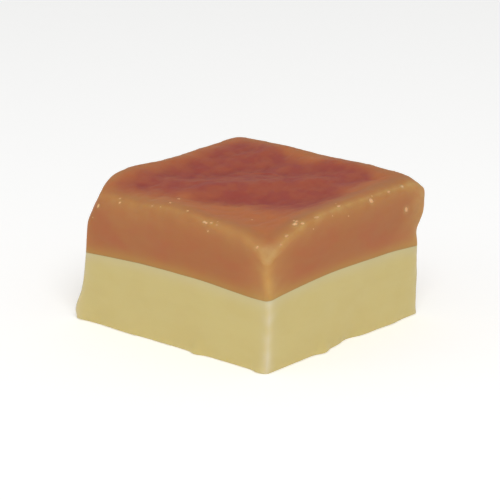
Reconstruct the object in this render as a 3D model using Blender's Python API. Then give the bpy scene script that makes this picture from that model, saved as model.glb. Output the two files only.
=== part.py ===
"""A cube of two-layer soft fudge: caramel pressed onto vanilla, cut square, and settled a little.

Metres, +Z up. The cube rests on its vanilla layer, and the origin is the middle of its base.
The cut sides face X and Y. Each corner is named by the way it points: front is +X -Y,
left is -X -Y, right is +X +Y and back is -X +Y.
"""

import math

import bmesh
import bpy
from mathutils import Vector

MM = 0.001

# The block, before its corners lean and its top settles.
LENGTH = 25.0 * MM  # along X
WIDTH = 24.0 * MM  # along Y
SEAM_HEIGHT = 7.9 * MM  # where the layers meet, in the middle of a side
LAYER_GAP = 0.3 * MM
RIM_HEIGHT = 15.0 * MM  # the top's rim, in the middle of a side
RIM_TILT = (-0.15 * MM, 0.4 * MM)  # the rim's rise towards +X and towards +Y

# The top: a rounded rim round a shallow basin.
RIM_BAND = 2.0 * MM  # the strip inside a cut side where the rim rounds over
RIM_DROP = 1.0 * MM  # the height that the rim's rounding takes
BASIN_DEPTH = 0.7 * MM
BASIN_MARGIN = 0.40  # the share of a half side over which the basin falls
FOOT_RADIUS = 0.35 * MM

# The upright edges: they are narrow up to a share of the caramel's height, and open above it.
EDGE_RADIUS = 0.7 * MM
OPENING_START = 0.25
OPENING_SPAN = 0.6

# Each corner: its offsets in X and Y at the foot, the seam and the top, the radius that its
# upright edge opens to at the top, and how far the rim and the seam drop there.
CORNERS = {
    "front": {
        "side": (1, -1),
        "foot": (-0.06, -0.45),
        "seam": (0.06, -0.18),
        "top": (0.0, 0.0),
        "radius": 0.8,
        "drop": 3.0,
        "sag": 0.95,
    },
    "left": {
        "side": (-1, -1),
        "foot": (-1.2, -0.6),
        "seam": (-0.3, -0.15),
        "top": (-0.25, 0.05),
        "radius": 1.7,
        "drop": 1.25,
        "sag": 0.60,
    },
    "right": {
        "side": (1, 1),
        "foot": (0.35, -0.2),
        "seam": (0.3, 0.0),
        "top": (0.75, 0.55),
        "radius": 1.0,
        "drop": 0.8,
        "sag": 0.65,
    },
    "back": {
        "side": (-1, 1),
        "foot": (-0.4, 0.4),
        "seam": (0.0, 0.1),
        "top": (0.1, -0.2),
        "radius": 1.5,
        "drop": 0.7,
        "sag": 0.40,
    },
}
SEAM_HUG = 2  # how closely the seam's drop keeps to the corners: a power of the place along a side
RIM_HUG = 3
SEAM_LIFT = 0.25 * MM  # how far the seam turns up all along the +X side
SEAM_FRONT_LIFT = 0.35 * MM  # and how much further at that side's front end
SEAM_LIFT_HUG = 6  # how closely the seam's lift keeps to the +X side
CARAMEL_BULGE = 0.3 * MM  # how far a caramel side swells past the cut

# Soft folds across the top: from, by way of, to, height (a valley is negative) and half width.
FOLDS = (
    ((-9.5, -3.0), (-5.0, 3.5), (2.5, 8.5), -0.55, 1.9),
    ((-7.0, -6.5), (0.0, -0.5), (8.0, 7.0), 0.60, 2.0),
    ((-1.5, -7.5), (4.5, -3.0), (9.0, 2.0), -0.45, 1.7),
    ((-4.0, 4.0), (0.5, 8.0), (5.5, 9.5), 0.50, 1.5),
    ((-9.0, 5.0), (-7.0, 8.0), (-3.5, 9.8), 0.45, 1.6),
)

# Burrs and chips round the foot: the side that they are on, how far along it, reach and half width.
FOOT_FLAWS = (
    ("+X", -3.6, 0.45, 0.9),
    ("+X", 0.9, -0.55, 1.5),
    ("+X", 7.4, 0.15, 1.2),
    ("-Y", 3.6, 0.40, 0.8),
    ("-Y", 11.5, 0.30, 0.9),
    ("-Y", -5.5, 0.15, 2.0),
    ("-X", -4.0, -0.35, 1.3),
    ("-X", 4.8, 0.40, 1.1),
    ("+Y", -6.5, 0.35, 1.0),
    ("+Y", 1.5, -0.40, 1.4),
)
FLAW_HEIGHT = 1.1 * MM
FLAW_HUG = 8  # how closely a flaw keeps to its side

# Places where the soft cube was pushed about: a point, the push, and how far the push reaches.
PUSHES = (
    ((-12.3, -5.6, 14.6), (0.0, 0.0, 0.55), 4.2),
    ((-12.5, -8.9, 14.4), (0.0, 0.0, 0.60), 2.2),
    ((12.7, 11.9, 12.3), (0.24, 0.18, 0.0), 1.9),
    ((12.5, 9.7, 11.6), (0.20, 0.0, 0.0), 1.1),
    ((12.8, 12.1, 9.1), (-0.26, -0.18, 0.0), 1.1),
    ((-1.3, -12.4, 11.0), (0.0, -0.12, 0.0), 4.0),
    ((12.5, 2.9, 12.0), (0.10, 0.0, 0.0), 3.0),
    ((-6.1, -11.9, 14.6), (0.0, 0.0, -0.55), 2.8),
    ((4.9, -11.9, 14.2), (0.0, 0.0, -0.45), 3.4),
    ((12.2, -12.1, 11.0), (-0.22, -0.19, 0.0), 2.9),
    ((-13.7, -12.6, 1.2), (-0.42, -0.35, 0.0), 1.7),
    ((-14.2, -13.0, 0.0), (0.34, 0.26, 0.0), 0.8),
)

# Flat places where a corner of the caramel was pinched: a point on each, and the way it faces.
FACETS = (
    ((12.13, -11.98, 11.36), (0.56, -0.57, 0.60)),
    ((-12.41, -11.93, 10.90), (-0.74, -0.50, 0.43)),
    ((12.23, 11.97, 14.24), (0.41, 0.43, 0.80)),
    ((-12.27, 11.87, 13.6), (-0.60, 0.60, 0.52)),
)

# Loop cuts, and the points along a fold where its distance is measured.
PLAN_CELL = 1.25 * MM
RIM_CUTS = (0.22, 0.5)  # shares of the rim's band
CARAMEL_CUTS = (0.22, 0.44, 0.62, 0.75, 0.88)  # shares of the layer's height
VANILLA_CUTS = (0.03, 0.07, 0.18, 0.42, 0.70)
FOLD_STEPS = 24
SAME_PLACE = 1e-7  # closer than this is the same height, or on the cut
SHARP_ANGLE = math.radians(50)


def smooth_step(x):
    x = min(max(x, 0.0), 1.0)
    return x * x * (3.0 - 2.0 * x)


def blend_corners(s, t, value_of):
    """The four corners' values, blended for a place s, t that runs from -1 to 1 each way."""
    total = 0.0
    for corner in CORNERS.values():
        side_x, side_y = corner["side"]
        total += value_of(corner) * (1 + side_x * s) * (1 + side_y * t) / 4
    return total


def fold_lift(x, y):
    """The height that the folds add at a place on the top."""
    lift = 0.0
    for start, middle, end, height, half_width in FOLDS:
        points = [Vector(p) * MM for p in (start, middle, end)]
        nearest = math.inf
        for i in range(FOLD_STEPS + 1):
            u = i / FOLD_STEPS
            on_fold = points[0] * (1 - u) ** 2 + points[1] * 2 * u * (1 - u) + points[2] * u**2
            nearest = min(nearest, (Vector((x, y)) - on_fold).length)
        lift += height * MM * math.exp(-((nearest / (half_width * MM)) ** 2))
    return lift


def seam(s, t):
    """The height of the surface where the layers meet."""
    sag = blend_corners(s, t, lambda corner: corner["sag"] * MM) * abs(s * t) ** SEAM_HUG
    lift = SEAM_LIFT + SEAM_FRONT_LIFT * ((1 - t) / 2) ** 3
    return SEAM_HEIGHT - sag + lift * max(s, 0) ** SEAM_LIFT_HUG


def crown(s, t):
    """The height of the top, before its rim is rounded."""
    inside = smooth_step((1 - abs(s)) / BASIN_MARGIN) * smooth_step((1 - abs(t)) / BASIN_MARGIN)
    drop = blend_corners(s, t, lambda corner: corner["drop"] * MM) * abs(s * t) ** RIM_HUG
    height = RIM_HEIGHT + RIM_TILT[0] * s + RIM_TILT[1] * t - drop
    return height - BASIN_DEPTH * inside + fold_lift(s * LENGTH / 2, t * WIDTH / 2)


def round_over(point, half, radii):
    """A point of a sharp box moved onto the same box with rounded edges.

    Within one radius of an edge or corner, the cube round it becomes a ball.
    """
    inner = [max(min(p, h - r), r - h) for p, h, r in zip(point, half, radii)]
    x, y, z = ((p - i) / r for p, i, r in zip(point, inner, radii))
    ball = (
        x * math.sqrt(1 - y * y / 2 - z * z / 2 + y * y * z * z / 3),
        y * math.sqrt(1 - z * z / 2 - x * x / 2 + z * z * x * x / 3),
        z * math.sqrt(1 - x * x / 2 - y * y / 2 + x * x * y * y / 3),
    )
    return [i + r * b for i, r, b in zip(inner, radii, ball)]


def lean(s, t, z):
    """How far the corners' lean carries a place sideways: a curve through foot, seam and top."""
    h = z / RIM_HEIGHT
    middle = SEAM_HEIGHT / RIM_HEIGHT
    foot_share = (h - middle) * (h - 1) / middle
    seam_share = h * (h - 1) / (middle * (middle - 1))
    top_share = h * (h - middle) / (1 - middle)

    def offset(axis):
        return blend_corners(
            s,
            t,
            lambda corner: (
                corner["foot"][axis] * foot_share
                + corner["seam"][axis] * seam_share
                + corner["top"][axis] * top_share
            ),
        )

    return offset(0) * MM, offset(1) * MM


def foot_flaws(s, t, z):
    """The outward steps in X and Y of the burrs and chips near the foot."""
    step = {"+X": 0.0, "-X": 0.0, "+Y": 0.0, "-Y": 0.0}
    for side, along, reach, half_width in FOOT_FLAWS:
        place = t * WIDTH / 2 if side in ("+X", "-X") else s * LENGTH / 2
        off = (place / MM - along) / half_width
        step[side] += reach * MM * math.exp(-off * off - (z / FLAW_HEIGHT) ** 2)
    near_edge = {"+X": max(s, 0), "-X": max(-s, 0), "+Y": max(t, 0), "-Y": max(-t, 0)}
    push = {side: step[side] * near_edge[side] ** FLAW_HUG for side in step}
    return push["+X"] - push["-X"], push["+Y"] - push["-Y"]


def push_about(point):
    """The point with the pushes' share at its place added."""
    total = Vector(point)
    for place, push, reach in PUSHES:
        away = (point - Vector(place) * MM).length / (reach * MM)
        total += Vector(push) * MM * math.exp(-away * away)
    return total


def shape_caramel(x, y, share):
    """Where a point of the sharp caramel block goes. share is its height within the layer."""
    s, t = x / (LENGTH / 2), y / (WIDTH / 2)
    opening = smooth_step((share - OPENING_START) / OPENING_SPAN)
    corner_radius = blend_corners(s, t, lambda corner: corner["radius"] * MM)
    radius = EDGE_RADIUS + (corner_radius - EDGE_RADIUS) * opening
    height = RIM_HEIGHT - SEAM_HEIGHT
    # Only the top is rounded, so the box that is rounded runs as far below the layer as above.
    z_from_seam = share * height
    half = (LENGTH / 2, WIDTH / 2, height)
    x, y, z_from_seam = round_over((x, y, z_from_seam), half, (radius, radius, RIM_DROP))
    share = z_from_seam / height
    s, t = x / (LENGTH / 2), y / (WIDTH / 2)
    bottom = seam(s, t) + LAYER_GAP / 2
    z = bottom + share * (crown(s, t) - bottom)
    swell = CARAMEL_BULGE * math.sin(math.pi * min(share, 1.0)) * (1 - (s * t) ** 2)
    step_x, step_y = lean(s, t, z)
    return push_about(Vector((x + s * swell + step_x, y + t * swell + step_y, z)))


def shape_vanilla(x, y, share):
    """Where a point of the sharp vanilla block goes. share is its height within the layer."""
    height = SEAM_HEIGHT - LAYER_GAP / 2
    # Only the foot is rounded, so the heights are taken down from the seam.
    below_seam = (1 - share) * height
    half = (LENGTH / 2, WIDTH / 2, height)
    x, y, _ = round_over((x, y, 0), half, (EDGE_RADIUS, EDGE_RADIUS, FOOT_RADIUS))
    x, y, below_seam = round_over((x, y, below_seam), half, (FOOT_RADIUS,) * 3)
    share = 1 - below_seam / height
    s, t = x / (LENGTH / 2), y / (WIDTH / 2)
    z = share * (seam(s, t) - LAYER_GAP / 2)
    step_x, step_y = lean(s, t, z)
    flaw_x, flaw_y = foot_flaws(s, t, z)
    return push_about(Vector((x + step_x + flaw_x, y + step_y + flaw_y, z)))


def plan_cuts(side):
    """Where loop cuts cross a side: close together by the rounded edges, and even between them."""
    half = side / 2
    flat = half - RIM_BAND
    count = round(2 * flat / PLAN_CELL)
    even = [-flat + 2 * flat * i / count for i in range(count + 1)]
    near = [half - RIM_BAND * share for share in RIM_CUTS]
    return even + near + [-place for place in near]


def cut_facets(bm, facets):
    """Takes off what stands past each facet's plane, and closes the cut."""
    for place, facing in facets:
        everything = bm.verts[:] + bm.edges[:] + bm.faces[:]
        cut = bmesh.ops.bisect_plane(
            bm,
            geom=everything,
            plane_co=Vector(place) * MM,
            plane_no=facing,
            dist=SAME_PLACE,
            clear_outer=True,
        )
        outline = [edge for edge in cut["geom_cut"] if isinstance(edge, bmesh.types.BMEdge)]
        bmesh.ops.contextual_create(bm, geom=outline)


def layer(name, shape, height_cuts, facets, material, collection):
    """One layer: a box with loop cuts, whose points are then shaped, and its pinched corners cut flat."""
    bm = bmesh.new()
    bmesh.ops.create_cube(bm, size=1)
    for vertex in bm.verts:
        vertex.co = Vector((vertex.co.x * LENGTH, vertex.co.y * WIDTH, vertex.co.z + 0.5))
    cuts = [((place, 0, 0), (1, 0, 0)) for place in plan_cuts(LENGTH)]
    cuts += [((0, place, 0), (0, 1, 0)) for place in plan_cuts(WIDTH)]
    cuts += [((0, 0, share), (0, 0, 1)) for share in height_cuts]
    for place, normal in cuts:
        everything = bm.verts[:] + bm.edges[:] + bm.faces[:]
        bmesh.ops.bisect_plane(bm, geom=everything, plane_co=place, plane_no=normal, dist=SAME_PLACE)
    for vertex in bm.verts:
        vertex.co = shape(*vertex.co)
    # The base is flat, so it needs no loop cuts.
    base = [face for face in bm.faces if all(abs(v.co.z) < SAME_PLACE for v in face.verts)]
    bmesh.ops.dissolve_faces(bm, faces=base)
    cut_facets(bm, facets)
    bmesh.ops.recalc_face_normals(bm, faces=bm.faces)
    mesh = bpy.data.meshes.new(name)
    bm.to_mesh(mesh)
    bm.free()
    mesh.materials.append(material)
    mesh.shade_smooth()
    mesh.set_sharp_from_angle(angle=SHARP_ANGLE)
    made = bpy.data.objects.new(name, mesh)
    collection.objects.link(made)
    return made


def fudge_material(name, colour, roughness, glow_depth):
    material = bpy.data.materials.new(name)
    material.use_nodes = True
    shader = material.node_tree.nodes["Principled BSDF"]
    shader.inputs["Base Color"].default_value = (*colour, 1.0)
    shader.inputs["Metallic"].default_value = 0.0
    shader.inputs["Roughness"].default_value = roughness
    shader.inputs["Subsurface Weight"].default_value = 0.5
    shader.inputs["Subsurface Scale"].default_value = glow_depth
    material.diffuse_color = (*colour, 1.0)
    return material


def centre_on_base(pieces):
    """Slides the pieces together, so that the origin is the middle of their shared base."""
    points = [vertex.co for piece in pieces for vertex in piece.data.vertices]
    middle_x = (min(p.x for p in points) + max(p.x for p in points)) / 2
    middle_y = (min(p.y for p in points) + max(p.y for p in points)) / 2
    for piece in pieces:
        for vertex in piece.data.vertices:
            vertex.co -= Vector((middle_x, middle_y, 0))


def main():
    for thing in list(bpy.data.objects):
        bpy.data.objects.remove(thing)
    cube = bpy.data.collections.new("fudge_cube")
    bpy.context.scene.collection.children.link(cube)
    caramel = fudge_material("caramel", (0.40, 0.16, 0.065), 0.42, 1.5 * MM)
    vanilla = fudge_material("vanilla", (0.64, 0.53, 0.24), 0.50, 1.0 * MM)
    pieces = [
        layer("vanilla_layer", shape_vanilla, VANILLA_CUTS, (), vanilla, cube),
        layer("caramel_layer", shape_caramel, CARAMEL_CUTS, FACETS, caramel, cube),
    ]
    centre_on_base(pieces)


main()
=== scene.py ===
import math
import random

import bpy
import numpy as np
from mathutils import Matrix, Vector


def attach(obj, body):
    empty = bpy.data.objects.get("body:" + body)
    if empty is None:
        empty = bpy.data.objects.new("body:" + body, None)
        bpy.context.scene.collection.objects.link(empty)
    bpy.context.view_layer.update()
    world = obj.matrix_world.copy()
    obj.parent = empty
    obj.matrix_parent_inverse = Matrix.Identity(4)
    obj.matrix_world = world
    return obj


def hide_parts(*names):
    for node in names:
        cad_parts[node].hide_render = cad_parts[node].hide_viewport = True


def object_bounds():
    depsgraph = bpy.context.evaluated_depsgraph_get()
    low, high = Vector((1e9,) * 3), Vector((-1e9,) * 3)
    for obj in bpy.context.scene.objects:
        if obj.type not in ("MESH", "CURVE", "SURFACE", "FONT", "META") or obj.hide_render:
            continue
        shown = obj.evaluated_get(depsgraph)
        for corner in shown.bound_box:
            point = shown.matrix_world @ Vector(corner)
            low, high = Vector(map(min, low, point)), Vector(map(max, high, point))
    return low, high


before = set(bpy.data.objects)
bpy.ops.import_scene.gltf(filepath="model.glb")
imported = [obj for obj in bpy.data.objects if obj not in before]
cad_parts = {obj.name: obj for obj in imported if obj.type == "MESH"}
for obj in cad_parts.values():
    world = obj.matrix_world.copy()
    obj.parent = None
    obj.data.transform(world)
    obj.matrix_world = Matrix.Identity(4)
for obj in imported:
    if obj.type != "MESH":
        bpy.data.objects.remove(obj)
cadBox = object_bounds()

mm = 0.001


# Small helpers for working on a piece the way one does in the viewport.

def objectMode():
    if bpy.context.object and bpy.context.object.mode != "OBJECT":
        bpy.ops.object.mode_set(mode="OBJECT")


def pick(piece):
    objectMode()
    bpy.ops.object.select_all(action="DESELECT")
    piece.select_set(True)
    bpy.context.view_layer.objects.active = piece


def pickEdges(piece, test):
    # test gets an edge's two ends; edge mode comes first, or whole faces are picked with their corners
    pick(piece)
    bpy.context.tool_settings.mesh_select_mode = (False, True, False)
    mesh = piece.data
    for part in (mesh.vertices, mesh.edges, mesh.polygons):
        part.foreach_set("select", [False] * len(part))
    for edge in mesh.edges:
        a, b = (mesh.vertices[i].co for i in edge.vertices)
        edge.select = test(a, b)
    bpy.ops.object.mode_set(mode="EDIT")


def applyModifier(piece, modifier):
    pick(piece)
    bpy.ops.object.modifier_apply(modifier=modifier.name)


def readPoints(piece):
    points = np.zeros(len(piece.data.vertices) * 3)
    piece.data.vertices.foreach_get("co", points)
    return points.reshape(-1, 3)


def writePoints(piece, points):
    piece.data.vertices.foreach_set("co", points.astype(np.float32).ravel())
    piece.data.update()


def readNormals(piece):
    normals = np.zeros(len(piece.data.vertices) * 3)
    piece.data.vertices.foreach_get("normal", normals)
    return normals.reshape(-1, 3)


def setAttribute(piece, name, values):
    attribute = piece.data.attributes.get(name) or piece.data.attributes.new(name, "FLOAT", "POINT")
    attribute.data.foreach_set("value", np.clip(values, 0, 1).astype(np.float32))


def smoothStep(x):
    x = np.clip(x, 0, 1)
    return x * x * (3 - 2 * x)


def rising(x, start, over):
    return smoothStep((x - start) / over)


def falling(x, start, over):
    return smoothStep((start - x) / over)


waves = ((1.0, 0.3), (-0.5, 0.9), (0.4, -1.3), (1.4, 1.1))  # how each runs over x and y


def wander(x, y, size):
    # an uneven drift between -1 and 1, about as broad as the size
    total = 0
    for i, (alongX, alongY) in enumerate(waves):
        total = total + np.sin(2 * np.pi * (alongX * x + alongY * y) / size + 1.7 * i) / len(waves)
    return total


# The block: both layers as one piece, so that nothing shows between them where they meet.

mostCuts = 100  # that subdivide makes in one go
shortest = 3 * mm  # a shorter edge is a rounding's, and isn't cut
hair = 0.1 * mm  # near enough to the top or the base
block = {
    "length": 25.0 * mm,
    "width": 24.0 * mm,
    "seam": 7.9 * mm,
    "rim": 15.25 * mm,
    "rimTilt": (-0.15 * mm, 0.4 * mm),
    "rimRound": 0.90 * mm,
    "uprightRound": 0.75,  # shares of the rim's rounding
    "footRound": 0.28,
    "roundSteps": 6,
    "gridStep": 0.15 * mm,
    "basinDepth": 0.9 * mm,
    "basinMargin": 0.40,
    "bulge": 0.3 * mm,
    "dropHug": 3,  # powers: the higher, the closer a shape keeps to its corner or side
    "sagHug": 2,
    "seamLift": (0.25, 0.35),  # in mm, all along the right side, and more at its front end
    "seamLiftHug": (6, 3),
}

# Where each corner stands off the square block, in mm, how far the rim and the seam dip there, and how
# strongly and broadly the caramel's edges are painted lighter, a painted glow and highlight.
corners = {
    "front": {
        "side": (1, -1), "foot": (-0.06, -0.45), "seam": (0.06, -0.18), "top": (0.0, 0.0),
        "drop": 3.25, "sag": 0.95, "rimGlow": 0.85, "uprightGlow": 0.95, "uprightFade": 1.35,
    },
    "left": {
        "side": (-1, -1), "foot": (-1.2, -0.6), "seam": (-0.3, -0.15), "top": (-0.25, 0.05),
        "drop": 1.3, "sag": 0.60, "rimGlow": 0.42, "uprightGlow": 0.2, "uprightFade": 1.1,
    },
    "right": {
        "side": (1, 1), "foot": (0.35, -0.2), "seam": (0.3, 0.0), "top": (0.68, 0.50),
        "drop": 0.9, "sag": 0.65, "rimGlow": 0.80, "uprightGlow": 0.72, "uprightFade": 2.2,
    },
    "back": {
        "side": (-1, 1), "foot": (-0.4, 0.4), "seam": (0.0, 0.1), "top": (0.1, -0.2),
        "drop": 0.7, "sag": 0.40, "rimGlow": 0.65, "uprightGlow": 0.5, "uprightFade": 1.3,
    },
}

# Broad folds over the top: start, middle and end on the plan, height and half width, in mm.
folds = (
    ((-9.5, -3.0), (-5.0, 3.5), (2.5, 8.5), -0.55, 1.9),
    ((-7.0, -6.5), (0.0, -0.5), (8.0, 7.0), 0.60, 2.0),
    ((-1.5, -7.5), (4.5, -3.0), (9.0, 2.0), -0.45, 1.7),
    ((-4.0, 4.0), (0.5, 8.0), (5.5, 9.5), 0.50, 1.5),
    ((-9.0, 5.0), (-7.0, 8.0), (-3.5, 9.8), 0.45, 1.6),
)

# Narrower creases that run along and across the folds.
creases = (
    ((-9.8, -4.5), (-6.5, -1.5), (-3.0, 3.0), -0.16, 0.90),
    ((-8.0, -7.5), (-3.5, -4.5), (0.5, 1.5), -0.12, 0.80),
    ((-4.5, -8.8), (-0.5, -6.5), (2.0, -2.5), -0.08, 0.70),
    ((-3.0, -1.0), (1.0, 2.0), (2.6, 6.5), -0.12, 1.20),
    ((-6.5, 0.5), (-4.5, 4.5), (-1.0, 7.8), -0.14, 0.80),
    ((2.0, -8.6), (5.5, -6.0), (7.0, -2.0), -0.07, 0.70),
    ((4.0, 0.5), (6.5, 3.0), (8.0, 7.0), -0.12, 0.80),
    ((-9.5, 1.5), (-8.5, 5.0), (-6.0, 9.0), -0.14, 0.80),
    ((0.5, 5.5), (3.0, 8.0), (7.5, 9.8), -0.12, 0.80),
    ((-3.6, 3.2), (-1.6, 4.6), (0.6, 4.4), 0.12, 0.24),
    ((-1.0, 8.6), (1.5, 9.6), (5.0, 10.2), 0.15, 0.80),
)

# Burrs and chips round the foot: side, how far along it, reach and half width, in mm.
flaws = (
    ("+X", -3.6, 0.45, 0.9),
    ("+X", 0.9, -0.55, 1.5),
    ("+X", 7.4, 0.15, 1.2),
    ("-Y", 3.6, 0.40, 0.8),
    ("-Y", 11.5, 0.30, 0.9),
    ("-Y", -5.5, 0.15, 2.0),
    ("-X", -4.0, -0.35, 1.3),
    ("-X", 4.8, 0.40, 1.1),
    ("+Y", -6.5, 0.35, 1.0),
    ("+Y", 1.5, -0.40, 1.4),
)
flawHeight = 1.1 * mm
flawHug = 8

# Flat places where a corner was pinched or cut off: a point on each, the way it faces, its softness, in mm,
# and how pale it is rubbed.
facets = (
    ((12.40, -11.85, 11.36), (0.56, -0.57, 0.60), 0.10, 1.0),
    ((-12.14, -11.80, 10.90), (-0.74, -0.50, 0.43), 0.20, 0.15),
    ((12.5, 12.1, 14.24), (0.41, 0.43, 0.80), 0.12, 0.3),
    ((-12.0, 12.0, 13.6), (-0.60, 0.60, 0.52), 0.25, 0.2),
)
wornEdge = 0.2 * mm  # how far past a facet's plane its paleness is full

# Places painted paler without going flat, a painted highlight on the right tip's bulge: a point, how far it
# reaches in mm, and how pale it is.
paintedHighlights = (
    ((13.4, 11.6, 13.0), 1.7, 0.9),
)

# Places where the soft caramel was pushed about: a point, the push, and how far it reaches, in mm.
pushes = (
    ((-12.0, -5.5, 14.6), (0.0, 0.0, 0.55), 4.2),
    ((-12.2, -8.8, 14.4), (0.0, 0.0, 0.60), 2.2),
    ((13.0, 12.0, 12.3), (0.24, 0.18, 0.0), 1.9),
    ((12.8, 9.8, 11.6), (0.20, 0.0, 0.0), 1.1),
    ((13.1, 12.2, 9.1), (-0.26, -0.18, 0.0), 1.1),
    ((-1.0, -12.3, 11.0), (0.0, -0.12, 0.0), 4.0),
    ((12.8, 3.0, 12.0), (0.10, 0.0, 0.0), 3.0),
    ((-5.8, -11.8, 14.6), (0.0, 0.0, -0.55), 2.8),
    ((5.2, -11.8, 14.2), (0.0, 0.0, -0.45), 3.4),
    ((12.5, -12.0, 11.0), (-0.22, -0.19, 0.0), 2.9),
    ((-13.4, -12.5, 1.2), (-0.42, -0.35, 0.0), 1.7),
    ((-13.9, -12.9, 0.0), (0.34, 0.26, 0.0), 0.8),
    ((12.4, 9.9, 14.5), (0.06, 0.0, 0.24), 0.55),
    ((12.2, 8.9, 14.7), (-0.04, 0.0, -0.18), 0.50),
    ((13.4, 10.8, 12.9), (0.16, 0.0, 0.0), 0.60),
    ((13.4, 9.7, 12.6), (-0.14, 0.0, 0.0), 0.55),
)

# Stretches of the rim that were handled soft: a point, how far it reaches in mm, and how much it is smoothed.
softSpots = (
    ((-12.0, -11.5, 14.5), 6.0, 1.0),
    ((-4.0, -11.8, 14.6), 6.0, 0.8),
    ((12.3, 4.0, 14.8), 7.0, 0.35),
    ((-12.3, 2.0, 15.0), 9.0, 0.8),
    ((0.0, 11.8, 15.2), 9.0, 0.8),
)
softSteps = 110
softOver = 2.0 * mm  # over what height it comes in, from one and a half times that above the seam


def onPlan(x, y):
    # from -1 to 1 across the block, as the next functions take it
    return np.clip(x / (block["length"] / 2), -1, 1), np.clip(y / (block["width"] / 2), -1, 1)


def blendCorners(s, t, key, axis=None):
    # a value of the corners, blended over the plan
    total = 0
    for corner in corners.values():
        value = corner[key] if axis is None else corner[key][axis]
        total = total + value * mm * (1 + corner["side"][0] * s) * (1 + corner["side"][1] * t) / 4
    return total


def seamHeight(s, t):
    # the seam dips towards the corners and turns up under the right side
    dip = blendCorners(s, t, "sag") * np.abs(s * t) ** block["sagHug"]
    along, atFront = (lift * mm for lift in block["seamLift"])
    sideHug, frontHug = block["seamLiftHug"]
    return block["seam"] - dip + (along + atFront * ((1 - t) / 2) ** frontHug) * np.maximum(s, 0) ** sideHug


def alongCurve(x, y, curve):
    # how far each point is from a fold's line, and where along it
    start, middle, end = (np.array(p) * mm for p in curve[:3])
    nearest = np.full(len(x), np.inf)
    place = np.zeros(len(x))
    steps = 40
    for i in range(steps + 1):
        u = i / steps
        onLine = start * (1 - u) ** 2 + middle * 2 * u * (1 - u) + end * u ** 2
        away = np.hypot(x - onLine[0], y - onLine[1])
        place = np.where(away < nearest, u, place)
        nearest = np.minimum(nearest, away)
    return nearest, place


def foldLift(x, y, lines):
    # the height that folds or creases add, fading out at their ends
    lift = np.zeros(len(x))
    for line in lines:
        nearest, place = alongCurve(x, y, line)
        fade = np.sqrt(np.clip(np.sin(np.pi * np.clip(place, 0.04, 0.96)), 0, 1))
        lift += line[3] * mm * fade * np.exp(-((nearest / (line[4] * mm)) ** 2))
    return lift


def weightEdges(piece, test, weight):
    attribute = piece.data.attributes.get("bevel_weight_edge")
    if not attribute:
        attribute = piece.data.attributes.new("bevel_weight_edge", "FLOAT", "EDGE")
    for edge in piece.data.edges:
        a, b = (piece.data.vertices[i].co for i in edge.vertices)
        if test(a, b):
            attribute.data[edge.index].value = weight


def cutAlong(piece, axis, low, high):
    # even cuts across the long edges that run along one axis, between two heights
    def runs(a, b):
        span = abs(a[axis] - b[axis])
        return span > shortest and span > 0.99 * (a - b).length and low <= (a.z + b.z) / 2 <= high
    parts = math.inf
    while parts > mostCuts:
        pickEdges(piece, runs)
        objectMode()
        longest = max(
            (piece.data.vertices[e.vertices[0]].co - piece.data.vertices[e.vertices[1]].co).length
            for e in piece.data.edges if e.select
        )
        parts = round(longest / block["gridStep"])
        bpy.ops.object.mode_set(mode="EDIT")
        bpy.ops.mesh.subdivide(number_cuts=1 if parts > mostCuts else parts - 1)
        objectMode()


def addBlock(vanilla, caramel):
    size = (block["length"], block["width"], block["rim"])
    bpy.ops.object.select_all(action="DESELECT")
    bpy.ops.mesh.primitive_cube_add(size=1, location=(0, 0, block["rim"] / 2), scale=size)
    piece = bpy.context.object
    piece.name = "block"
    bpy.ops.object.transform_apply(location=True, rotation=True, scale=True)
    piece.data.materials.append(vanilla)
    piece.data.materials.append(caramel)
    bpy.ops.object.mode_set(mode="EDIT")
    bpy.ops.mesh.select_all(action="SELECT")
    bpy.ops.mesh.bisect(plane_co=(0, 0, block["seam"]), plane_no=(0, 0, 1))
    objectMode()
    for face in piece.data.polygons:
        face.material_index = 1 if face.center.z > block["seam"] else 0

    weightEdges(piece, lambda a, b: min(a.z, b.z) > block["rim"] - hair, 1.0)
    weightEdges(piece, lambda a, b: abs(a.z - b.z) > shortest, block["uprightRound"])
    weightEdges(piece, lambda a, b: max(a.z, b.z) < hair, block["footRound"])
    bevel = piece.modifiers.new("rounding", "BEVEL")
    bevel.limit_method = "WEIGHT"
    bevel.width = block["rimRound"]
    bevel.segments = block["roundSteps"]
    applyModifier(piece, bevel)

    cutAlong(piece, 0, -1, 1)
    cutAlong(piece, 1, -1, 1)
    cutAlong(piece, 2, 0, block["seam"])
    cutAlong(piece, 2, block["seam"], block["rim"])
    return piece


# How the edges' painted glow and highlight is spread. The left rim was rubbed, so it is broad and faint
# there.
edgeGlow = {
    "rimFade": 0.8 * mm,  # from the rim inwards over the top
    "otherFade": 1.1 * mm,  # down the sides
    "rubbedX": (2, 9),  # in mm, where the rubbed stretch begins and over what length it comes in
    "rubbedY": (-6, 4),
    "rubbedSpread": 0.9,
    "blend": 2.4 * mm,  # over which an upright edge's glow passes into the rim's
    "drift": 0.22,
    "driftSize": 3.1 * mm,
}


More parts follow.
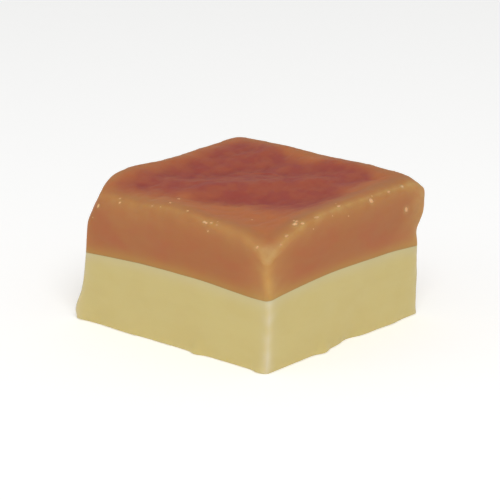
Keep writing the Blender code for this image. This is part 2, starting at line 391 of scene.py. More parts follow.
def paintEdges(piece):
    # how near each point of the square block is to an edge: its second nearest side tells
    x, y, z = readPoints(piece).T
    away = np.stack([block["length"] / 2 - np.abs(x), block["width"] / 2 - np.abs(y), block["rim"] - z])
    rubbed = falling(x / mm, *edgeGlow["rubbedX"]) * falling(y / mm, *edgeGlow["rubbedY"])
    second = np.maximum(np.sort(away, axis=0)[1], 0)
    upright = smoothStep(0.5 + (away[2] - np.maximum(away[0], away[1])) / edgeGlow["blend"])
    atCorner = blendCorners(np.sign(x), np.sign(y), "uprightFade")
    standing = np.where(z < block["seam"], edgeGlow["otherFade"], atCorner)
    onTop = away[2] < np.minimum(away[0], away[1])
    fade = np.where(onTop, edgeGlow["rimFade"], edgeGlow["otherFade"])
    spread = upright * standing + (1 - upright) * fade * (1 + edgeGlow["rubbedSpread"] * rubbed)
    s, t = x / (block["length"] / 2), y / (block["width"] / 2)
    onRim = blendCorners(s, t, "rimGlow") / mm
    onUpright = blendCorners(np.sign(x), np.sign(y), "uprightGlow") / mm
    strength = np.where(z < block["seam"], 1, upright * onUpright + (1 - upright) * onRim)
    uneven = 1 + edgeGlow["drift"] * wander(x + z, y - z, edgeGlow["driftSize"])
    # the edges are painted lighter over this mask: a painted glow and highlight where light catches the edges
    # and shines through them
    setAttribute(piece, "edge", strength * uneven * np.exp(-second / spread))


def settle(piece):
    # the corners lean, the seam and the rim dip towards them, and the top sinks inside its rim
    points = readPoints(piece)
    x, y, z = points.T
    s, t = onPlan(x, y)
    corner = np.abs(s * t)
    seamAt = seamHeight(s, t)
    inside = smoothStep((1 - np.abs(s)) / block["basinMargin"])
    inside = inside * smoothStep((1 - np.abs(t)) / block["basinMargin"])
    crown = block["rim"] + block["rimTilt"][0] * s + block["rimTilt"][1] * t
    crown = crown - blendCorners(s, t, "drop") * corner ** block["dropHug"] - block["basinDepth"] * inside
    crown = crown + foldLift(x, y, folds)
    below = z / block["seam"]
    above = (z - block["seam"]) / (block["rim"] - block["seam"])
    height = np.where(z <= block["seam"], below * seamAt, seamAt + above * (crown - seamAt))
    swell = block["bulge"] * np.sin(np.pi * np.clip(above, 0, 1)) * (1 - corner ** 2)

    h = height / block["rim"]
    middle = block["seam"] / block["rim"]
    shares = {
        "foot": (h - middle) * (h - 1) / middle,
        "seam": h * (h - 1) / (middle * (middle - 1)),
        "top": h * (h - middle) / (1 - middle),
    }
    leanX = sum(blendCorners(s, t, key, 0) * share for key, share in shares.items())
    leanY = sum(blendCorners(s, t, key, 1) * share for key, share in shares.items())

    pushX, pushY = footFlaws(s, t, height)
    writePoints(piece, np.stack([x + s * swell + leanX + pushX, y + t * swell + leanY + pushY, height], 1))


def footFlaws(s, t, z):
    # how far the burrs and chips move a side in or out
    push = {"+X": 0, "-X": 0, "+Y": 0, "-Y": 0}
    for side, along, reach, halfWidth in flaws:
        place = t * block["width"] / 2 if "X" in side else s * block["length"] / 2
        off = (place - along * mm) / (halfWidth * mm)
        push[side] = push[side] + reach * mm * np.exp(-off ** 2 - (z / flawHeight) ** 2)
    near = {"+X": s, "-X": -s, "+Y": t, "-Y": -t}
    push = {side: amount * np.maximum(near[side], 0) ** flawHug for side, amount in push.items()}
    return push["+X"] - push["-X"], push["+Y"] - push["-Y"]


def nearness(points, at, reach):
    # 1 at a place given in mm, and falling off over its reach
    away = np.linalg.norm(points - np.array(at) * mm, axis=1) / (reach * mm)
    return np.exp(-away ** 2)


def pushAbout(piece):
    points = readPoints(piece)
    for at, push, reach in pushes:
        points += np.outer(nearness(points, at, reach), np.array(push) * mm)
    writePoints(piece, points)


def smoothed(piece, steps, weight=0.6):
    # each point goes part of the way to the middle of its neighbours, again and again
    points = readPoints(piece)
    ends = np.zeros(len(piece.data.edges) * 2, dtype=np.int64)
    piece.data.edges.foreach_get("vertices", ends)
    a, b = ends.reshape(-1, 2).T
    count = np.bincount(a, minlength=len(points)) + np.bincount(b, minlength=len(points))
    weight = np.broadcast_to(weight, len(points))[:, None]
    for _ in range(steps):
        total = np.zeros_like(points)
        for axis in range(3):
            total[:, axis] = np.bincount(a, points[b, axis], len(points))
            total[:, axis] += np.bincount(b, points[a, axis], len(points))
        points = points * (1 - weight) + weight * total / count[:, None]
    return points


def soften(piece):
    # the handled stretches of the rim are smoothed, and the rest is left as it is
    points = readPoints(piece)
    weight = np.zeros(len(points))
    for at, reach, amount in softSpots:
        weight = np.maximum(weight, amount * nearness(points, at, reach))
    weight *= smoothStep((points[:, 2] - block["seam"]) / softOver - 1.5)
    writePoints(piece, smoothed(piece, softSteps, weight))


def scrape(piece):
    # a flat brush: whatever stands past a facet's plane is pressed back onto it
    points = readPoints(piece)
    wearAndHighlight = np.zeros(len(points))
    for at, facing, softness, rubbed in facets:
        facing = np.array(facing) / np.linalg.norm(facing)
        past = (points - np.array(at) * mm) @ facing
        soft = softness * mm
        points -= np.outer(soft * np.logaddexp(0, past / soft), facing)
        wearAndHighlight = np.maximum(wearAndHighlight, rubbed * smoothStep(past / wornEdge + 0.4))
    # the tip's painted highlight joins the rubbed facets in one pale mask
    for at, reach, rubbed in paintedHighlights:
        wearAndHighlight = np.maximum(wearAndHighlight, rubbed * nearness(points, at, reach))
    writePoints(piece, points)
    setAttribute(piece, "wearAndHighlight", wearAndHighlight)


# Where relief goes, by how far up a face looks and how near the side it is: where each mask begins and
# over how much more it comes in.
ground = {
    "topFacing": (0.5, 0.35),
    "topInside": (0.97, 0.16),
    "aboveSeam": 2 * mm,
    "steep": (0.75, 0.4),
    "rimFacing": (0.1, 0.3),
    "rimEnds": (0.98, 0.1),
    "footHeight": 0.8 * mm,
    "sideFrom": 1.5 * mm,
}


def maskTop(piece):
    # how far inside the rim a point of the top is, from 0 to 1
    points = readPoints(piece)
    upward = rising(readNormals(piece)[:, 2], *ground["topFacing"])
    s = np.abs(points[:, 0]) / (block["length"] / 2)
    t = np.abs(points[:, 1]) / (block["width"] / 2)
    inside = falling(s, *ground["topInside"]) * falling(t, *ground["topInside"])
    return upward * inside * (points[:, 2] > block["seam"] + ground["aboveSeam"])


def crease(piece):
    # the narrow creases are pressed into the top
    points = readPoints(piece)
    points[:, 2] += foldLift(points[:, 0], points[:, 1], creases) * maskTop(piece)
    writePoints(piece, points)


def addGroup(piece, name, weights):
    group = piece.vertex_groups.new(name=name)
    for i, weight in enumerate(np.clip(weights, 0, 1)):
        if weight > 0:
            group.add([i], float(weight), "REPLACE")


# Relief on the block's faces: what it is on, size of the lumps, height, and how they are drawn out.
relief = {
    "topLumps": {
        "mask": "top", "size": 2.4 * mm, "height": 0.15 * mm, "depth": 1,
        "stretch": (1.0, 1.6, 1.0), "turn": -12,
    },
    "topPits": {
        "mask": "top", "size": 1.15 * mm, "height": 0.075 * mm, "depth": 1,
        "stretch": (1.0, 1.3, 1.0), "turn": 25,
    },
    "topGrain": {
        "mask": "top", "size": 0.7 * mm, "height": 0.030 * mm, "depth": 2,
        "stretch": (1.0, 2.0, 1.0), "turn": -18,
    },
    "sideWaves": {
        "mask": "side", "size": 4.5 * mm, "height": 0.16 * mm, "depth": 1,
        "stretch": (1.6, 1.6, 1.0), "turn": 0,
    },
    "sideDrag": {
        "mask": "side", "size": 0.9 * mm, "height": 0.016 * mm, "depth": 2,
        "stretch": (7.0, 7.0, 0.8), "turn": 0,
    },
    "rimBumps": {
        "mask": "rim", "size": 1.3 * mm, "height": 0.10 * mm, "depth": 2,
        "stretch": (1.0, 1.0, 1.0), "turn": 0,
    },
    "footRags": {
        "mask": "foot", "size": 1.3 * mm, "height": 0.15 * mm, "depth": 2,
        "stretch": (1.0, 1.0, 1.4), "turn": 0,
    },
}


def maskRelief(piece):
    z = readPoints(piece)[:, 2]
    upward = readNormals(piece)[:, 2]
    top = maskTop(piece)
    steep = falling(np.abs(upward), *ground["steep"])
    foot = np.exp(-((z / ground["footHeight"]) ** 2)) * steep
    side = steep * smoothStep(z / ground["sideFrom"])
    edge = rising(upward, *ground["rimFacing"]) * falling(upward, *ground["rimEnds"])
    rim = edge * (z > block["seam"] + ground["aboveSeam"]) * (1 - top)
    return {"top": top, "side": side, "rim": rim, "foot": foot}


def addRelief(piece):
    for name, mask in maskRelief(piece).items():
        addGroup(piece, name, mask)
    for name, wanted in relief.items():
        texture = bpy.data.textures.new(name, "CLOUDS")
        texture.noise_scale = wanted["size"]
        texture.noise_depth = wanted["depth"]
        bpy.ops.object.empty_add(rotation=(0, 0, math.radians(wanted["turn"])))
        guide = bpy.context.object
        guide.scale = wanted["stretch"]
        bpy.context.view_layer.update()
        modifier = piece.modifiers.new(name, "DISPLACE")
        modifier.texture = texture
        modifier.texture_coords = "OBJECT"
        modifier.texture_coords_object = guide
        modifier.strength = wanted["height"] * 2
        modifier.mid_level = 0.5
        modifier.vertex_group = wanted["mask"]
        applyModifier(piece, modifier)
        bpy.data.objects.remove(guide)
    piece.vertex_groups.clear()
    points = readPoints(piece)
    points[:, 2] = np.maximum(points[:, 2], 0)
    writePoints(piece, points)


# Where the darker, sunken part of the top begins, from the middle, and over what length it comes in. It is
# painted darker, partly its own deeper colour and partly painted shade.
darkTop = {
    "side": 9.9 * mm,
    "sideFade": 3.0 * mm,
    "bay": (-2.6 * mm, 2.4 * mm, 1.0 * mm),  # nearer the right rim: where, over what length, by how much
    "front": -6.3 * mm,  # it keeps further from the front corner, along a curve
    "frontSlant": 0.12,
    "frontBend": 0.012 / mm,
    "frontFade": 4.0 * mm,
    "frontBay": (3.6 * mm, 1.9 * mm, 1.5 * mm),  # further back from the front, in the same way
    "leftFrom": -2.8 * mm,
    "leftSlant": 0.72,
    "wander": 0.5 * mm,
    "wanderSize": 4.2 * mm,
    "backDrift": 1.5 * mm,  # how unevenly it ends along the far sides
    "backSize": 13.0 * mm,
    "backOver": 6 * mm,
}


def darkMask(x, y):
    drift, size = darkTop["wander"], darkTop["wanderSize"]
    x, y = x + drift * wander(x, y, size), y + drift * wander(y, x, size)
    edge = darkTop["front"] + darkTop["frontSlant"] * x + darkTop["frontBend"] * x ** 2
    edge += darkTop["leftSlant"] * np.minimum(x - darkTop["leftFrom"], 0)
    at, halfLength, reach = darkTop["frontBay"]
    edge += reach * np.exp(-(((x - at) / halfLength) ** 2))
    dark = smoothStep(0.5 + (y - edge) / darkTop["frontFade"])
    at, halfLength, reach = darkTop["bay"]
    bay = reach * np.exp(-(((y - at) / halfLength) ** 2))
    farSide = smoothStep(y / darkTop["backOver"])
    side = darkTop["side"] + darkTop["backDrift"] * wander(y, x, darkTop["backSize"]) * farSide
    for reached in (x - bay, -x, y):
        dark = dark * smoothStep(0.5 + (side - reached) / darkTop["sideFade"])
    return dark


# How the painted masks are spread. The reliefs are in mm over the smoothed block.
paint = {
    "broadSteps": 110,
    "fineSteps": 14,
    "crest": 0.30,
    "ridge": (0.10, 0.06),  # from where, and over how much more
    "hollowShade": 0.16,
    "hollowPlain": 0.25,  # the share that a hollow keeps outside the dark top
    "seamFade": 0.85 * mm,
    "facing": (0.55, 0.35),
    "flat": (1.0, 1.6),  # inwards from the sides, in mm
    "streakSide": (10.4 * mm, mm),
    "streakEnd": 8 * mm,
    "streakUp": (11.5 * mm, mm),
    "streakFacing": 0.3,
    "leftShare": 0.6,
}


def paintMasks(piece):
    # edges stand out from a smoothed copy of the block, and hollows lie under it and are painted darker, a
    # painted shade
    points = readPoints(piece)
    normals = readNormals(piece)
    broad = ((points - smoothed(piece, paint["broadSteps"])) * normals).sum(1) / mm
    fine = ((points - smoothed(piece, paint["fineSteps"])) * normals).sum(1) / mm
    setAttribute(piece, "crest", smoothStep(broad / paint["crest"]))
    # fine ridges are painted paler below, a painted highlight
    setAttribute(piece, "ridge", rising(fine, *paint["ridge"]))

    x, y, z = points.T
    s, t = onPlan(x, y)
    seamAt = seamHeight(s, t)
    # a band along the seam; on the caramel it carries a painted glow
    setAttribute(piece, "nearSeam", np.exp(-((z - seamAt) / paint["seamFade"]) ** 2))
    inside = np.minimum(block["length"] / 2 - np.abs(x), block["width"] / 2 - np.abs(y)) / mm
    upward = rising(normals[:, 2], *paint["facing"]) * (z > seamAt + ground["aboveSeam"])
    # the top is painted darker over this mask, partly its own deeper colour and partly painted shade
    dark = upward * darkMask(x, y)
    setAttribute(piece, "darkTopAndShade", dark)
    setAttribute(piece, "flat", upward * rising(inside, *paint["flat"]))
    # painted shade in the hollows, strongest over the dark top
    plain = paint["hollowPlain"]
    setAttribute(piece, "hollowShade", smoothStep(-broad / paint["hollowShade"]) * (plain + (1 - plain) * dark))

    # the right rim's crest is streaked with sugar and a painted highlight, and the left one's a little
    edge = np.zeros(len(points))
    piece.data.attributes["edge"].data.foreach_get("value", edge)
    onRight = rising(x, *paint["streakSide"])
    onLeft = rising(-y, *paint["streakSide"]) * smoothStep(0.5 - x / paint["streakEnd"])
    rim = rising(z, *paint["streakUp"]) * smoothStep(normals[:, 2] / paint["streakFacing"])
    setAttribute(piece, "crestSugarAndHighlight", edge ** 3 * rim * np.maximum(onRight, paint["leftShare"] * onLeft))


def splitLayers(piece):
    # the faces of each layer become a piece, and the open side where they met is closed
    pick(piece)
    bpy.ops.object.mode_set(mode="EDIT")
    bpy.ops.mesh.separate(type="MATERIAL")
    objectMode()
    made = {}
    for half in list(bpy.context.selected_objects):
        name = "vanillaLayer" if readPoints(half)[:, 2].min() < hair else "caramelLayer"
        half.name = half.data.name = name
        pick(half)
        bpy.ops.object.mode_set(mode="EDIT")
        bpy.ops.mesh.select_all(action="DESELECT")
        bpy.ops.mesh.select_mode(type="EDGE")
        bpy.ops.mesh.select_non_manifold(extend=False, use_wire=False, use_boundary=True,
                                         use_multi_face=False, use_non_contiguous=False, use_verts=False)
        bpy.ops.mesh.fill(use_beauty=True)
        bpy.ops.mesh.select_all(action="SELECT")
        bpy.ops.mesh.normals_make_consistent(inside=False)
        objectMode()
        bpy.ops.object.shade_smooth_by_angle(angle=math.radians(50))
        made[name] = half
    return made["vanillaLayer"], made["caramelLayer"]


# Materials.

# Each tint is laid over the ones before it: the painted mask it follows, its colour, and how.
caramelLook = {
    "colour": (0.400, 0.152, 0.060),
    "cloud": (0.425, 0.110, 0.054),
    "topWarm": (0.485, 0.155, 0.056),
    # partly painted shade: the darker colour of the top inside its rim
    "deepAndShade": (0.328, 0.068, 0.052),
    # painted shade for the hollows
    "paintedHollowShade": (0.280, 0.055, 0.048),
    # painted light: the edges' lighter colour, where light catches them and shines through them
    "paintedEdgeLight": (0.550, 0.328, 0.105),
    # painted light: a lighter band just over the seam, for light from the vanilla shining up into the caramel
    "seamGlow": (0.470, 0.255, 0.070),
    # pale colour of rubbed wear, sugar dust and painted highlights
    "wearAndHighlight": (0.560, 0.365, 0.150),
    "clouds": {"Amount": 0.35, "Scale": 260.0},
    "tints": (
        ("flat", "topWarm", {"Amount": 0.95, "Broken": 0.25, "Patches": 800.0}),
        ("darkTopAndShade", "deepAndShade", {"Amount": 0.95, "Broken": 0.25, "Patches": 480.0}),
        ("hollowShade", "paintedHollowShade", {"Amount": 0.60}),
        ("nearSeam", "seamGlow", {"Amount": 0.70}),
        ("edge", "paintedEdgeLight", {"Broken": 0.10}),
        # sugar and a painted highlight along the rims' crests
        ("crestSugarAndHighlight", "wearAndHighlight", {"Amount": 0.80, "Broken": 0.80, "Patches": 1500.0}),
        # rubbed facets, and the painted highlight on the right tip
        ("wearAndHighlight", "wearAndHighlight", {"Amount": 0.42, "Broken": 0.40}),
        # painted highlight on the fine ridges
        ("ridge", "wearAndHighlight", {"Amount": 0.45}),
        ("sugar", "wearAndHighlight", {"Amount": 0.60}),
    ),
    "roughness": 0.52,
    "gloss": 0.12,
    "scatter": 0.45,
    "scatterDepth": 1.3 * mm,
    "scatterRadius": (1.0, 0.42, 0.18),
}
vanillaLook = {
    "colour": (0.590, 0.484, 0.198),
    "cloud": (0.545, 0.420, 0.150),
    # painted highlight along the vanilla's edges
    "paintedEdgeLight": (0.665, 0.590, 0.425),
    "seamGlow": (0.590, 0.500, 0.290),
    "clouds": {"Amount": 0.25, "Scale": 240.0},
    "tints": (
        ("nearSeam", "seamGlow", {"Amount": 0.50}),
        ("edge", "paintedEdgeLight", {"Amount": 0.90, "Narrow": 2.6}),
    ),
    "roughness": 0.50,
    "gloss": 0.30,
    "scatter": 0.35,
    "scatterDepth": 1.0 * mm,
    "scatterRadius": (1.0, 0.75, 0.42),
}


def newGroup(name, inputs, outputs):
    group = bpy.data.node_groups.new(name, "ShaderNodeTree")
    for label, kind, value in inputs:
        socket = group.interface.new_socket(name=label, in_out="INPUT", socket_type=kind)
        socket.default_value = value
    for label, kind in outputs:
        group.interface.new_socket(name=label, in_out="OUTPUT", socket_type=kind)
    return group, group.nodes.new("NodeGroupInput"), group.nodes.new("NodeGroupOutput")


def buildMottle():
    # soft clouds of a second colour, drawn out a little along the cut
    group, given, out = newGroup(
        "fudgeMottle",
        [("Colour", "NodeSocketColor", (1, 1, 1, 1)), ("Deep", "NodeSocketColor", (0, 0, 0, 1)),
         ("Amount", "NodeSocketFloat", 0.5), ("Scale", "NodeSocketFloat", 300.0)],
        [("Colour", "NodeSocketColor")],
    )
    nodes, links = group.nodes, group.links
    coords = nodes.new("ShaderNodeTexCoord")
    mapping = nodes.new("ShaderNodeMapping")
    mapping.inputs["Scale"].default_value = (1.0, 1.0, 1.7)
    noise = nodes.new("ShaderNodeTexNoise")
    noise.inputs["Detail"].default_value = 4.0
    noise.inputs["Roughness"].default_value = 0.55
    ramp = nodes.new("ShaderNodeMapRange")
    ramp.interpolation_type = "SMOOTHSTEP"
    ramp.inputs["From Min"].default_value = 0.38
    ramp.inputs["From Max"].default_value = 0.68
    amount = nodes.new("ShaderNodeMath")
    amount.operation = "MULTIPLY"
    mix = nodes.new("ShaderNodeMix")
    mix.data_type = "RGBA"
    links.new(coords.outputs["Object"], mapping.inputs["Vector"])
    links.new(mapping.outputs["Vector"], noise.inputs["Vector"])
    links.new(given.outputs["Scale"], noise.inputs["Scale"])
    links.new(noise.outputs["Fac"], ramp.inputs["Value"])
    links.new(ramp.outputs["Result"], amount.inputs[0])
    links.new(given.outputs["Amount"], amount.inputs[1])
    links.new(amount.outputs["Value"], mix.inputs["Factor"])
    links.new(given.outputs["Colour"], mix.inputs["A"])
    links.new(given.outputs["Deep"], mix.inputs["B"])
    links.new(mix.outputs["Result"], out.inputs["Colour"])
    return group


def buildTint():
    # lays a colour over another by a painted mask
    group, given, out = newGroup(
        "maskTint",
        [("Colour", "NodeSocketColor", (1, 1, 1, 1)), ("Tint", "NodeSocketColor", (1, 1, 1, 1)),
         ("Mask", "NodeSocketFloat", 0.0), ("Narrow", "NodeSocketFloat", 1.0),
         ("Amount", "NodeSocketFloat", 1.0), ("Broken", "NodeSocketFloat", 0.0),
         ("Patches", "NodeSocketFloat", 1100.0)],
        [("Colour", "NodeSocketColor")],
    )
    nodes, links = group.nodes, group.links
    coords = nodes.new("ShaderNodeTexCoord")
    noise = nodes.new("ShaderNodeTexNoise")
    noise.inputs["Detail"].default_value = 3.0
    patches = nodes.new("ShaderNodeMapRange")
    patches.interpolation_type = "SMOOTHSTEP"
    patches.inputs["From Min"].default_value = 0.42
    patches.inputs["From Max"].default_value = 0.62
    breakUp = nodes.new("ShaderNodeMix")
    breakUp.inputs["A"].default_value = 1.0
    narrow = nodes.new("ShaderNodeMath")
    narrow.operation = "POWER"
    broken = nodes.new("ShaderNodeMath")
    broken.operation = "MULTIPLY"
    amount = nodes.new("ShaderNodeMath")
    amount.operation = "MULTIPLY"
    amount.use_clamp = True
    mix = nodes.new("ShaderNodeMix")
    mix.data_type = "RGBA"
    links.new(given.outputs["Mask"], narrow.inputs[0])
    links.new(given.outputs["Narrow"], narrow.inputs[1])
    links.new(coords.outputs["Object"], noise.inputs["Vector"])
    links.new(given.outputs["Patches"], noise.inputs["Scale"])
    links.new(noise.outputs["Fac"], patches.inputs["Value"])
    links.new(given.outputs["Broken"], breakUp.inputs["Factor"])
    links.new(patches.outputs["Result"], breakUp.inputs["B"])
    links.new(narrow.outputs["Value"], broken.inputs[0])
    links.new(breakUp.outputs["Result"], broken.inputs[1])
    links.new(broken.outputs["Value"], amount.inputs[0])
    links.new(given.outputs["Amount"], amount.inputs[1])
    links.new(amount.outputs["Value"], mix.inputs["Factor"])
    links.new(given.outputs["Colour"], mix.inputs["A"])
    links.new(given.outputs["Tint"], mix.inputs["B"])
    links.new(mix.outputs["Result"], out.inputs["Colour"])
    return group


def buildGrain():
    # the fine sugar grain and the faint level lines that a knife leaves
    group, given, out = newGroup(
        "sugarGrain",
        [("Grain", "NodeSocketFloat", 0.5), ("Drag", "NodeSocketFloat", 0.5),
         ("Roughness", "NodeSocketFloat", 0.5)],
        [("Height", "NodeSocketFloat"), ("Roughness", "NodeSocketFloat")],
    )
    nodes, links = group.nodes, group.links
    coords = nodes.new("ShaderNodeTexCoord")
    grain = nodes.new("ShaderNodeTexNoise")
    grain.inputs["Scale"].default_value = 3200.0
    grain.inputs["Detail"].default_value = 3.0
    stretch = nodes.new("ShaderNodeMapping")
    stretch.inputs["Scale"].default_value = (0.05, 0.05, 1.0)
    drag = nodes.new("ShaderNodeTexNoise")
    drag.inputs["Scale"].default_value = 2300.0
    drag.inputs["Detail"].default_value = 2.0
    patches = nodes.new("ShaderNodeTexNoise")
    patches.inputs["Scale"].default_value = 420.0
    patches.inputs["Detail"].default_value = 3.0
    grainPart = nodes.new("ShaderNodeMath")
    grainPart.operation = "MULTIPLY"
    dragPart = nodes.new("ShaderNodeMath")
    dragPart.operation = "MULTIPLY"
    height = nodes.new("ShaderNodeMath")
    height.operation = "ADD"
    spread = nodes.new("ShaderNodeMapRange")
    spread.inputs["To Min"].default_value = -0.10
    spread.inputs["To Max"].default_value = 0.10
    rough = nodes.new("ShaderNodeMath")
    rough.operation = "ADD"
    links.new(coords.outputs["Object"], grain.inputs["Vector"])
    links.new(coords.outputs["Object"], stretch.inputs["Vector"])
    links.new(coords.outputs["Object"], patches.inputs["Vector"])
    links.new(stretch.outputs["Vector"], drag.inputs["Vector"])
    links.new(grain.outputs["Fac"], grainPart.inputs[0])
    links.new(given.outputs["Grain"], grainPart.inputs[1])
    links.new(drag.outputs["Fac"], dragPart.inputs[0])
    links.new(given.outputs["Drag"], dragPart.inputs[1])
    links.new(grainPart.outputs["Value"], height.inputs[0])
    links.new(dragPart.outputs["Value"], height.inputs[1])
    links.new(height.outputs["Value"], out.inputs["Height"])
    links.new(patches.outputs["Fac"], spread.inputs["Value"])
    links.new(given.outputs["Roughness"], rough.inputs[0])
    links.new(spread.outputs["Result"], rough.inputs[1])
    links.new(rough.outputs["Value"], out.inputs["Roughness"])
    return group


def addNode(material, group, **values):
    node = material.node_tree.nodes.new("ShaderNodeGroup")
    node.node_tree = group
    for name, value in values.items():
        node.inputs[name].default_value = (*value, 1.0) if isinstance(value, tuple) else value
    return node


def fudgeMaterial(name, look, groups):
    material = bpy.data.materials.new(name)
    material.use_nodes = True
    nodes, links = material.node_tree.nodes, material.node_tree.links
    shader = nodes["Principled BSDF"]
    clouds = addNode(material, groups["mottle"], Colour=look["colour"], Deep=look["cloud"], **look["clouds"])
    colour = clouds.outputs["Colour"]
    for mask, tint, how in look["tints"]:
        painted = nodes.new("ShaderNodeAttribute")
        painted.attribute_name = mask
        over = addNode(material, groups["tint"], Tint=look[tint], **how)
        links.new(painted.outputs["Fac"], over.inputs["Mask"])
        links.new(colour, over.inputs["Colour"])
        colour = over.outputs["Colour"]
    links.new(colour, shader.inputs["Base Color"])
    grain = addNode(material, groups["grain"], Grain=0.5, Drag=0.5, Roughness=look["roughness"])
    bump = nodes.new("ShaderNodeBump")
    bump.inputs["Strength"].default_value = 0.25
    bump.inputs["Distance"].default_value = 0.04 * mm
    links.new(grain.outputs["Height"], bump.inputs["Height"])
    links.new(bump.outputs["Normal"], shader.inputs["Normal"])
    links.new(grain.outputs["Roughness"], shader.inputs["Roughness"])
    shader.inputs["Subsurface Weight"].default_value = look["scatter"]
    shader.inputs["Subsurface Radius"].default_value = look["scatterRadius"]
    shader.inputs["Subsurface Scale"].default_value = look["scatterDepth"]
    shader.inputs["IOR"].default_value = 1.45
    shader.inputs["Specular IOR Level"].default_value = look["gloss"]
    return material


# Pale flecks of sugar on the rim and the corners.

flecks = {
    "count": 14,
    "size": (0.06 * mm, 0.13 * mm),
    "thickness": 0.65,
    "colour": (0.80, 0.47, 0.24),
    "cloud": (0.62, 0.33, 0.15),
    "clouds": {"Amount": 0.9, "Scale": 900.0},
    "halo": 1.6,  # how far, in radii, the caramel round a fleck is dusted
    "crest": 0.45,  # the small ones are strewn where the crest is stronger than this
    "above": 3 * mm,  # and this far over the seam
    "ragged": 0.22,
    "seed": 7,
    # the larger ones: where they sit and their radius, in mm, how drawn out they are, and how far their
    # long side is turned, in degrees
    "large": (
        ((-10.5, -11.7, 12.7), 0.15, 1.6, 80),
        ((-7.6, -11.7, 13.6), 0.10, 1.5, 30),
        ((-7.9, -11.5, 14.3), 0.09, 1.3, 0),
        ((-3.4, -11.6, 14.2), 0.09, 1.3, 0),
        ((-2.2, -11.5, 14.2), 0.07, 1.3, 0),
        ((-1.5, -10.6, 14.3), 0.11, 1.5, 10),
        ((-2.4, -8.2, 14.1), 0.10, 1.6, 0),
        ((3.9, -11.8, 14.05), 0.11, 1.8, 8),
        ((4.3, -11.8, 14.05), 0.11, 1.6, 0),
        ((4.8, -11.8, 14.05), 0.10, 1.6, 0),
        ((5.5, -11.6, 13.95), 0.10, 1.2, 0),
        ((7.2, -8.2, 14.0), 0.08, 1.2, 0),
        ((11.0, -12.0, 12.8), 0.14, 1.3, 60),
        ((12.6, -10.1, 13.0), 0.11, 1.2, 0),
        ((12.4, -9.0, 13.4), 0.14, 1.6, 20),
        ((12.1, -7.3, 14.1), 0.24, 1.2, 20),
        ((11.9, -6.9, 14.2), 0.20, 1.1, 80),
        ((12.3, -6.6, 14.1), 0.15, 1.4, 0),
        ((11.5, -6.7, 14.3), 0.11, 1.2, 0),
        ((12.5, -4.7, 14.2), 0.13, 2.6, 0),
        ((12.4, -1.1, 14.5), 0.12, 2.0, 0),
        ((12.9, 3.5, 14.2), 0.25, 1.1, 90),
        ((12.9, 6.5, 14.4), 0.15, 1.6, 0),
        ((12.9, 8.8, 14.5), 0.18, 1.1, 0),
        ((13.0, 9.1, 12.1), 0.24, 1.1, 90),
    ),
}


def fleckSpots(caramelPiece):
    # where each fleck sits and how it lies: first the larger ones, then small ones strewn over the crests
    random.seed(flecks["seed"])
    mesh = caramelPiece.data
    crest = np.zeros(len(mesh.vertices))
    mesh.attributes["crest"].data.foreach_get("value", crest)
    points = readPoints(caramelPiece)
    high = np.flatnonzero((crest > flecks["crest"]) & (points[:, 2] > block["seam"] + flecks["above"]))
    spots = []
    for place, radius, long, turn in flecks["large"]:
        nearest = int(np.linalg.norm(points - np.array(place) * mm, axis=1).argmin())
        spots.append((nearest, radius * mm, long, math.radians(turn)))
    for _ in range(flecks["count"]):
        radius = random.uniform(*flecks["size"]) * random.uniform(0.5, 1)
        spots.append((int(random.choice(high)), radius, random.uniform(0.9, 1.8), random.uniform(0, math.pi)))
    return [(mesh.vertices[i].co.copy(), mesh.vertices[i].normal.copy(), radius, long, turn)
            for i, radius, long, turn in spots]


def dustRound(caramelPiece, spots):
    points = readPoints(caramelPiece)
    dust = np.zeros(len(points))
    for place, _, radius, _, _ in spots:
        away = np.linalg.norm(points - np.array(place), axis=1)
        dust = np.maximum(dust, np.exp(-((away / (flecks["halo"] * radius)) ** 2)))
    setAttribute(caramelPiece, "sugar", dust)


def addFlecks(spots, material):
    # one fleck is modelled, then copied on to the surface with its own mesh
    bpy.ops.object.select_all(action="DESELECT")
    bpy.ops.mesh.primitive_ico_sphere_add(subdivisions=2, radius=1)
    first = bpy.context.object
    bpy.ops.object.mode_set(mode="EDIT")
    bpy.ops.transform.vertex_random(offset=flecks["ragged"], uniform=0.6, seed=flecks["seed"])
    objectMode()

    made = []
    for place, normal, radius, long, turn in spots:
        fleck = first.copy()
        fleck.data = first.data.copy()
        bpy.context.scene.collection.objects.link(fleck)
        fleck.rotation_euler = normal.to_track_quat("Z", "Y").to_euler()
        fleck.rotation_euler.rotate_axis("Z", turn)
        fleck.scale = (radius * long, radius * random.uniform(0.7, 1.0), radius * flecks["thickness"])
        fleck.location = place
        made.append(fleck)
    bpy.data.objects.remove(first)
    bpy.ops.object.select_all(action="DESELECT")
    for fleck in made:
        fleck.select_set(True)
    bpy.context.view_layer.objects.active = made[0]
    bpy.ops.object.transform_apply(location=True, rotation=True, scale=True)
    bpy.ops.object.join()
    piece = bpy.context.object
    bpy.ops.object.transform_apply(location=True, rotation=True, scale=True)
    piece.name = piece.data.name = "sugarFlecks"
    piece.data.materials.clear()
    piece.data.materials.append(material)
    bpy.ops.object.shade_smooth()
    return piece


def fleckMaterial(groups):
    material = bpy.data.materials.new("sugarFleck")
    material.use_nodes = True
    nodes, links = material.node_tree.nodes, material.node_tree.links
    shader = nodes["Principled BSDF"]
    colours = {"Colour": flecks["colour"], "Deep": flecks["cloud"]}
    clouds = addNode(material, groups["mottle"], **colours, **flecks["clouds"])
    links.new(clouds.outputs["Colour"], shader.inputs["Base Color"])
    grain = addNode(material, groups["grain"], Grain=0.6, Drag=0.0, Roughness=0.45)
    links.new(grain.outputs["Roughness"], shader.inputs["Roughness"])
    shader.inputs["Specular IOR Level"].default_value = 0.15
    shader.inputs["Subsurface Weight"].default_value = 0.3
    shader.inputs["Subsurface Scale"].default_value = 0.3 * mm
    return material


# Floor, light and camera.

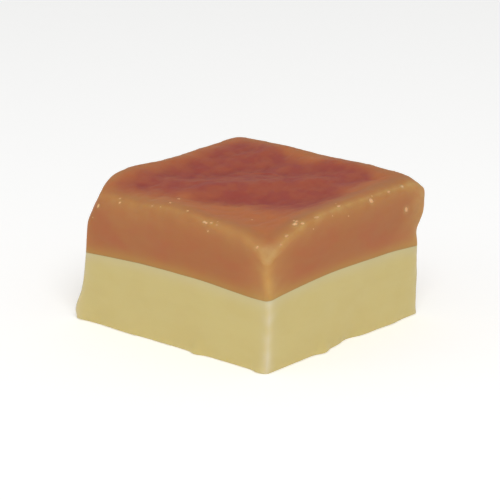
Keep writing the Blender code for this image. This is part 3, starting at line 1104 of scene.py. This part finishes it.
studio = {
    "floor": 2.0,
    "floorColour": (0.90, 0.90, 0.89),
    "floorGlow": 0.25,
    "world": 0.50,
    "keyPower": 1.25,
    "keySize": 0.30,
    "keyAt": (0.255, -0.22, 0.40),
    "fillPower": 0.14,
    "fillSize": 0.30,
    "fillAt": (-0.25, -0.35, 0.15),
}
cameraView = {
    "azimuth": 40.4,
    "elevation": 18.1,
    "distance": 0.2576,
    "lens": 178.0,
    "aim": (0.0, 0.0, 7.2 * mm),
}


def addFloor():
    bpy.ops.object.select_all(action="DESELECT")
    bpy.ops.mesh.primitive_plane_add(size=studio["floor"], location=(0, 0, 0))
    floor = bpy.context.object
    floor.name = "floor"
    material = bpy.data.materials.new("floorPaper")
    material.use_nodes = True
    shader = material.node_tree.nodes["Principled BSDF"]
    shader.inputs["Base Color"].default_value = (*studio["floorColour"], 1)
    shader.inputs["Roughness"].default_value = 0.9
    shader.inputs["Specular IOR Level"].default_value = 0.1
    shader.inputs["Emission Color"].default_value = (1, 1, 1, 1)
    shader.inputs["Emission Strength"].default_value = studio["floorGlow"]
    floor.data.materials.append(material)


def addArea(name, place, size, power, aim):
    light = bpy.data.lights.new(name, "AREA")
    light.shape = "DISK"
    light.size = size
    light.energy = power
    lamp = bpy.data.objects.new(name, light)
    lamp.location = place
    lamp.rotation_euler = (Vector(aim) - Vector(place)).to_track_quat("-Z", "Y").to_euler()
    bpy.context.scene.collection.objects.link(lamp)


def addStudio():
    addFloor()
    world = bpy.data.worlds.new("studio")
    world.use_nodes = True
    sky = world.node_tree.nodes["Background"]
    sky.inputs["Color"].default_value = (1, 1, 1, 1)
    sky.inputs["Strength"].default_value = studio["world"]
    bpy.context.scene.world = world
    addArea("key", studio["keyAt"], studio["keySize"], studio["keyPower"], cameraView["aim"])
    addArea("fill", studio["fillAt"], studio["fillSize"], studio["fillPower"], cameraView["aim"])
    bpy.context.scene.view_settings.view_transform = "Standard"


def addCamera():
    azimuth, elevation = (math.radians(cameraView[key]) for key in ("azimuth", "elevation"))
    level = Vector((math.sin(azimuth), -math.cos(azimuth), 0))
    back = level * math.cos(elevation) + Vector((0, 0, math.sin(elevation)))
    camera = bpy.data.cameras.new("camera")
    camera.lens = cameraView["lens"]
    camera.clip_start = 0.01
    holder = bpy.data.objects.new("camera", camera)
    holder.location = Vector(cameraView["aim"]) + back * cameraView["distance"]
    holder.rotation_euler = (-back).to_track_quat("-Z", "Y").to_euler()
    bpy.context.scene.collection.objects.link(holder)
    bpy.context.scene.camera = holder


def slideOntoFrame(piece):
    # the frame's origin is the middle of its footprint
    points = readPoints(piece)
    low, high = np.array(cadBox[0]), np.array(cadBox[1])
    middle = (points.min(0) + points.max(0)) / 2
    points[:, :2] += ((low + high) / 2 - middle)[:2]
    writePoints(piece, points)


groups = {"mottle": buildMottle(), "tint": buildTint(), "grain": buildGrain()}
caramel = fudgeMaterial("caramelFudge", caramelLook, groups)
vanilla = fudgeMaterial("vanillaFudge", vanillaLook, groups)
print("materials ready")

body = addBlock(vanilla, caramel)
print("block cut:", len(body.data.vertices), "points")
paintEdges(body)
settle(body)
slideOntoFrame(body)
pushAbout(body)
soften(body)
scrape(body)
crease(body)
addRelief(body)
print("block sculpted")
paintMasks(body)
vanillaPiece, caramelPiece = splitLayers(body)
print("layers split:", *(len(piece.data.polygons) for piece in (vanillaPiece, caramelPiece)), "faces")
spots = fleckSpots(caramelPiece)
dustRound(caramelPiece, spots)
fleckPiece = addFlecks(spots, fleckMaterial(groups))

for piece, slot in ((vanillaPiece, "vanilla"), (caramelPiece, "caramel"), (fleckPiece, "vanilla")):
    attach(piece, "root")
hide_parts("vanilla_layer")
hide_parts("caramel_layer")

addStudio()
addCamera()
print("studio ready")
